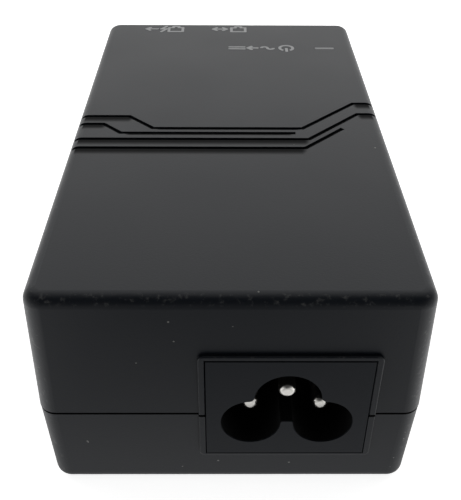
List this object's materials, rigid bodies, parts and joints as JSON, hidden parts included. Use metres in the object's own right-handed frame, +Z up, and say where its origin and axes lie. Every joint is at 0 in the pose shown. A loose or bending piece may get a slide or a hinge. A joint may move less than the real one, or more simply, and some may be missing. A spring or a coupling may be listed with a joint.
{
  "type": "poe injector",
  "caption": "Desktop power-over-Ethernet injector: a black two-shell plastic box with a cloverleaf mains inlet in one end and a pair of network jacks in the other.",
  "frame": {"origin": "under the middle of the case, on the surface the feet stand on", "axes": "+Z up, +Y from the mains inlet towards the network jacks, +X to the right as seen from the inlet end"},
  "size_m": [0.0532, 0.096, 0.0358],
  "materials": {
    "case_plastic": "fine satin texture",
    "inlet_plastic": "fine satin texture",
    "pin_metal": "nickel plated",
    "board_laminate": "solder mask",
    "insulation_film": "plain film",
    "port_plastic": "moulded",
    "shield_steel": "tin plated",
    "contact_metal": "gold plated",
    "light_plastic": "clear polycarbonate",
    "led_plastic": "diffused",
    "moulded_black": "epoxy moulding",
    "disc_coating": "dipped coating",
    "box_capacitor": "moulded box",
    "capacitor_sleeve": "shrunk sleeve",
    "ferrite": "sintered",
    "winding_copper": "enamelled copper wire",
    "winding_tape": "polyester tape",
    "bobbin_plastic": "moulded",
    "sink_aluminium": "mill finish",
    "screw_steel": "zinc plated",
    "foot_rubber": "matt",
    "label_film": "plain printed film, blank"
  },
  "bodies": {
    "case": {"top_cover": "case_plastic", "bottom_cover": "case_plastic", "inlet_housing": "inlet_plastic", "inlet_line_pin": "pin_metal", "inlet_neutral_pin": "pin_metal", "inlet_earth_pin": "pin_metal", "circuit_board": "board_laminate", "insulation_sheet": "insulation_film", "port_housing": "port_plastic", "contact_carriers": "port_plastic", "port_shield": "shield_steel", "light_pipe": "light_plastic", "power_led": "led_plastic", "fuse": "moulded_black", "bridge_rectifier": "moulded_black", "switch_transistor": "moulded_black", "output_diode": "moulded_black", "optocoupler": "moulded_black", "controller_chip": "moulded_black", "lan_magnetics": "moulded_black", "surface_resistors": "moulded_black", "varistor": "disc_coating", "y_capacitor": "disc_coating", "x_capacitor": "box_capacitor", "bulk_capacitor": "capacitor_sleeve", "output_capacitors": "capacitor_sleeve", "choke_core": "ferrite", "transformer_core": "ferrite", "output_inductor": "ferrite", "choke_windings": "winding_copper", "transformer_winding": "winding_tape", "transformer_bobbin": "bobbin_plastic", "primary_heatsink": "sink_aluminium", "secondary_heatsink": "sink_aluminium", "case_screws": "screw_steel", "heatsink_screws": "screw_steel", "rubber_feet": "foot_rubber", "rating_label": "label_film"},
    "lan_contact_wires": {"lan_contacts": "contact_metal"},
    "poe_contact_wires": {"poe_contacts": "contact_metal"}
  },
  "joints": [
    {"name": "lan_contacts_flex", "type": "hinge", "parent": "case", "child": "lan_contact_wires", "pos_m": [0, 0.04145, 0.01645], "axis": [-1, 0, 0], "range_deg": [0, 10], "stiffness_Nm_per_rad": 1},
    {"name": "poe_contacts_flex", "type": "hinge", "parent": "case", "child": "poe_contact_wires", "pos_m": [-0.01397, 0.04145, 0.01645], "axis": [-1, 0, 0], "range_deg": [0, 10], "stiffness_Nm_per_rad": 1}
  ]
}
